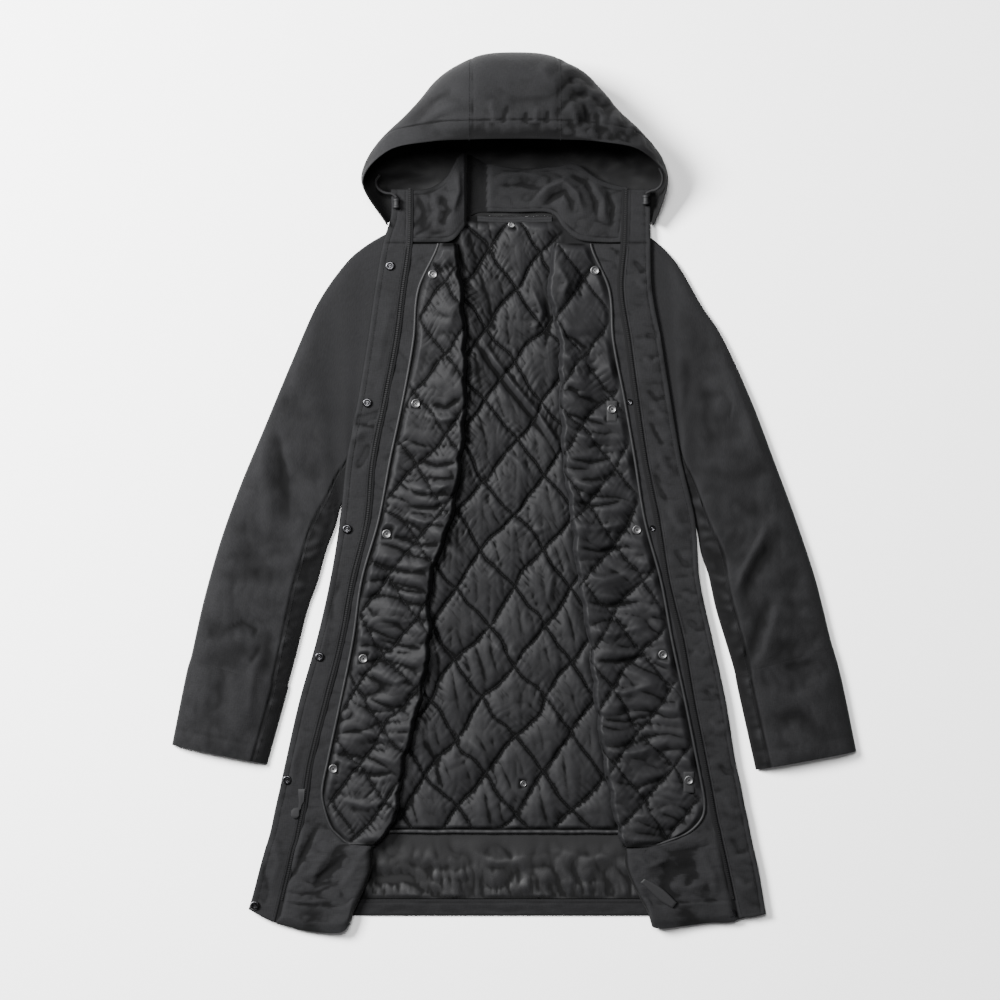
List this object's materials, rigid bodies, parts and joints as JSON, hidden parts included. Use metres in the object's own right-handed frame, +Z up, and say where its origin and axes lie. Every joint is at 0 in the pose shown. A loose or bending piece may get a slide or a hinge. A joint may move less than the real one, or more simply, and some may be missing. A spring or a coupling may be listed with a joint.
{
  "type": "trench coat",
  "caption": "Hooded trench coat laid open on its back, fronts turned back to show a diamond-quilted button-out liner, with zip, snap strip and drawcord hood.",
  "frame": {"origin": "on the floor under the coat's back, on its centre line, half way along the laid coat", "axes": "+Y from hem to hood, +Z up out of the floor, +X towards the wearer's left sleeve"},
  "size_m": [0.848, 1.0819, 0.1088],
  "materials": {
    "shell": "matte charcoal plain-weave shell cloth",
    "lining": "soft-sheen charcoal taffeta",
    "quilt": "satin-faced quilted nylon",
    "binding": "bias-cut satin binding",
    "metal": "dark nickel plate",
    "button": "smoky polished resin",
    "cord": "braided black cord"
  },
  "bodies": {
    "root": {"back": "shell", "back_button_1": "button", "back_button_2": "button", "binding_back_hem": "binding", "binding_back_neck": "binding", "button_tab_l2": "quilt", "button_tab_l5": "quilt", "collar": "shell", "cuff_l": "shell", "cuff_r": "shell", "facing_l": "lining", "facing_r": "lining", "facing_snap_1": "metal", "facing_snap_2": "metal", "front_l": "shell", "front_lining_l": "lining", "front_lining_r": "lining", "front_r": "shell", "hem_facing": "shell", "hem_pull": "binding", "hem_snap": "metal", "hem_tab": "shell", "hood_centre": "shell", "hood_cord_l": "cord", "hood_cord_r": "cord", "hood_lock_l": "button", "hood_lock_r": "button", "hood_side_l": "shell", "hood_side_r": "shell", "liner_back": "quilt", "liner_button_l1": "button", "liner_button_l2": "button", "liner_button_l3": "button", "liner_button_l4": "button", "liner_button_l5": "button", "liner_button_r1": "button", "liner_button_r2": "button", "liner_button_r3": "button", "liner_button_r4": "button", "liner_button_r5": "button", "liner_front_l": "quilt", "liner_front_r": "quilt", "lining_back": "lining", "piping_l": "binding", "piping_r": "binding", "placket_l": "shell", "sleeve_top_l": "shell", "sleeve_top_r": "shell", "sleeve_under_l": "shell", "sleeve_under_r": "shell", "snap_strip_r": "shell", "strip_snap_1": "metal", "strip_snap_2": "metal", "strip_snap_3": "metal", "strip_snap_4": "metal", "strip_snap_5": "metal", "strip_snap_6": "metal", "zip_slider_r": "metal", "zip_tape_l": "shell", "zip_tape_r": "shell"}
  },
  "joints": []
}
